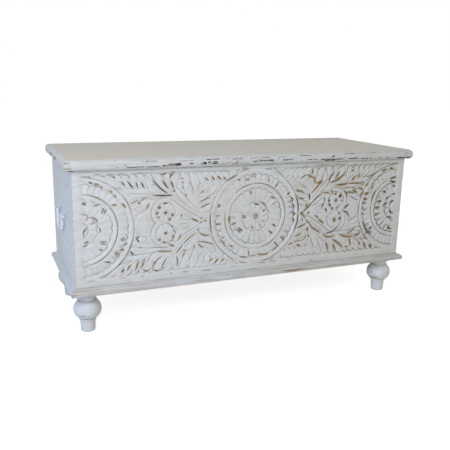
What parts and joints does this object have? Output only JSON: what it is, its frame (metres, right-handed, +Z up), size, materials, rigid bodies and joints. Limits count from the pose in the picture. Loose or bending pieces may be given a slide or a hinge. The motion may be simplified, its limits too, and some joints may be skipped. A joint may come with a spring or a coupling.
{
  "type": "storage chest",
  "caption": "Rectangular storage chest on turned bulbous feet with a hinged overhanging lid, a rosette-carved front and drop handles on its ends.",
  "frame": {"origin": "on the floor under the middle of the chest", "axes": "+X along the chest's length, +Y from the carved front to the back, +Z up"},
  "size_m": [1.15, 0.443, 0.5114],
  "materials": {
    "whitewashed_wood": "rubbed chalky paint",
    "bare_wood": "planed, unpainted",
    "painted_iron": "chalky paint",
    "mild_steel": "dull"
  },
  "bodies": {
    "carcass": {"back_panel": "whitewashed_wood", "base_rail_back": "whitewashed_wood", "base_rail_front": "whitewashed_wood", "base_rail_left": "whitewashed_wood", "base_rail_right": "whitewashed_wood", "base_screws": "mild_steel", "box_hinge_screws": "mild_steel", "carcass_nails": "mild_steel", "floor_board_back": "bare_wood", "floor_board_front": "bare_wood", "floor_board_middle": "bare_wood", "floor_cleat_back": "bare_wood", "floor_cleat_front": "bare_wood", "floor_cleat_left": "bare_wood", "floor_cleat_right": "bare_wood", "foot_back_left": "whitewashed_wood", "foot_back_right": "whitewashed_wood", "foot_block_back_left": "bare_wood", "foot_block_back_right": "bare_wood", "foot_block_front_left": "bare_wood", "foot_block_front_right": "bare_wood", "foot_bolts": "mild_steel", "foot_front_left": "whitewashed_wood", "foot_front_right": "whitewashed_wood", "foot_nuts": "mild_steel", "front_panel": "whitewashed_wood", "hinge_centre_box_leaf": "mild_steel", "hinge_centre_pin": "mild_steel", "hinge_left_box_leaf": "mild_steel", "hinge_left_pin": "mild_steel", "hinge_right_box_leaf": "mild_steel", "hinge_right_pin": "mild_steel", "left_end_panel": "whitewashed_wood", "left_handle_staples": "painted_iron", "right_end_panel": "whitewashed_wood", "right_handle_staples": "painted_iron"},
    "lid": {"batten_screws": "mild_steel", "hinge_centre_lid_leaf": "mild_steel", "hinge_left_lid_leaf": "mild_steel", "hinge_right_lid_leaf": "mild_steel", "lid_batten_left": "bare_wood", "lid_batten_right": "bare_wood", "lid_front_board": "whitewashed_wood", "lid_hinge_screws": "mild_steel", "lid_middle_board": "whitewashed_wood", "lid_rear_board": "whitewashed_wood"},
    "left_bail": {"left_handle_bail": "painted_iron"},
    "right_bail": {"right_handle_bail": "painted_iron"}
  },
  "joints": [
    {"name": "lid_hinge", "type": "hinge", "parent": "carcass", "child": "lid", "pos_m": [0, 0.208, 0.4792], "axis": [-1, 0, 0], "range_deg": [0, 108]},
    {"name": "left_handle_swing", "type": "hinge", "parent": "carcass", "child": "left_bail", "pos_m": [-0.566, 0, 0.32582], "axis": [0, 1, 0], "range_deg": [0, 170]},
    {"name": "right_handle_swing", "type": "hinge", "parent": "carcass", "child": "right_bail", "pos_m": [0.566, 0, 0.32582], "axis": [0, -1, 0], "range_deg": [0, 170]}
  ]
}
